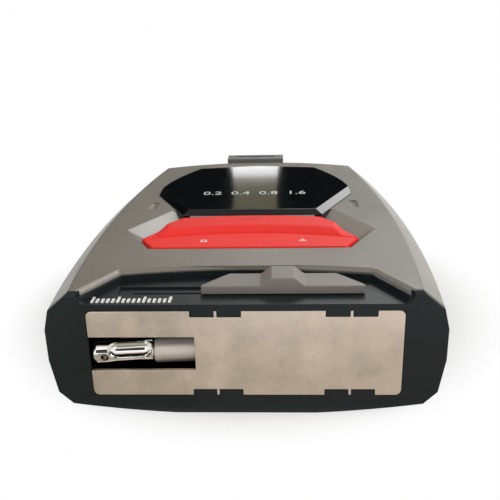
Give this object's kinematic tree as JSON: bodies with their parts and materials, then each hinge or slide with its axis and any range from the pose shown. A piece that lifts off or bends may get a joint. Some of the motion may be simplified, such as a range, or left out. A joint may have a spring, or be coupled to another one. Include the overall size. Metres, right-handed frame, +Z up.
{
  "type": "surface roughness tester",
  "caption": "Pocket surface roughness tester: tapered case with display and red keys, slotted steel base plate, skidded pickup on a motor-driven carriage and a sliding shutter.",
  "frame": {"origin": "centre of the part's box, on the table under its flat underside", "axes": "+Z up out of the display, -Y out of the measuring face, +X to the right of the measuring face"},
  "size_m": [0.08, 0.1085, 0.0279],
  "materials": {
    "case_black": "moulded black plastic, fine grain",
    "cover_grey": "moulded grey plastic, fine grain",
    "slider_grey": "moulded grey plastic",
    "key_red": "moulded red plastic, satin",
    "window_gloss": "glossy black window",
    "plate_nickel": "nickel plated steel, mottled",
    "chrome": "polished chrome",
    "steel": "turned or rolled steel",
    "bronze": "turned bronze",
    "board_green": "circuit board with solder mask",
    "display_grey": "liquid crystal display in its frame",
    "cell_wrap": "shrink wrapped cell",
    "part_black": "small moulded electronic part",
    "lug_grey": "moulded dark grey plastic"
  },
  "bodies": {
    "case": {"lower_case": "case_black", "front_frame": "case_black", "top_cover": "cover_grey", "base_plate": "plate_nickel", "display_window": "window_gloss", "display_module": "display_grey", "main_board": "board_green", "battery_pack": "cell_wrap", "tact_switches": "part_black", "charge_socket": "steel", "buzzer": "part_black", "strap_lug": "lug_grey", "case_screws": "steel", "drive_bracket": "steel", "drive_motor": "steel", "gear_head": "bronze", "guide_rods": "steel", "screw_bearing": "bronze", "bracket_screws": "steel"},
    "shutter": {"shutter_knob": "slider_grey", "shutter_plate": "steel"},
    "start_button": {"start_key": "key_red"},
    "left_button": {"left_key": "key_red"},
    "right_button": {"right_key": "key_red"},
    "carriage": {"carriage": "part_black", "lead_nut": "bronze", "pivot_pin": "steel"},
    "pickup": {"pickup": "chrome"},
    "stylus": {"stylus": "steel"},
    "screw": {"lead_screw": "steel"}
  },
  "joints": [
    {"name": "shutter_slide", "type": "slide", "parent": "case", "child": "shutter", "axis": [1, 0, 0], "range_m": [-0.019, 0]},
    {"name": "start_press", "type": "slide", "parent": "case", "child": "start_button", "axis": [0, 0, -1], "range_m": [0, 0.0005], "stiffness_N_per_m": 400, "springref_m": -0.0005},
    {"name": "left_press", "type": "slide", "parent": "case", "child": "left_button", "axis": [0, 0, -1], "range_m": [0, 0.0005], "stiffness_N_per_m": 400, "springref_m": -0.0005},
    {"name": "right_press", "type": "slide", "parent": "case", "child": "right_button", "axis": [0, 0, -1], "range_m": [0, 0.0005], "stiffness_N_per_m": 400, "springref_m": -0.0005},
    {"name": "traverse", "type": "slide", "parent": "case", "child": "carriage", "axis": [1, 0, 0], "range_m": [0, 0.006]},
    {"name": "pickup_swing", "type": "hinge", "parent": "carriage", "child": "pickup", "pos_m": [0.015, -0.04793, 0.01265], "axis": [0, 0, 1], "range_deg": [-5, 0]},
    {"name": "stylus_hinge", "type": "hinge", "parent": "pickup", "child": "stylus", "pos_m": [-0.01349, -0.05042, 0.01205], "axis": [0, 0, 1], "range_deg": [-0.6, 0.6], "stiffness_Nm_per_rad": 0.002},
    {"name": "screw_turn", "type": "hinge", "parent": "case", "child": "screw", "pos_m": [0, -0.03875, 0.01265], "axis": [1, 0, 0], "range_deg": [-1, 1081]}
  ],
  "couplings": [
    {"joint": "pickup_swing", "follows": "shutter_slide", "rad_per_m": 4.5},
    {"joint": "screw_turn", "follows": "traverse", "rad_per_m": 3141.6}
  ]
}
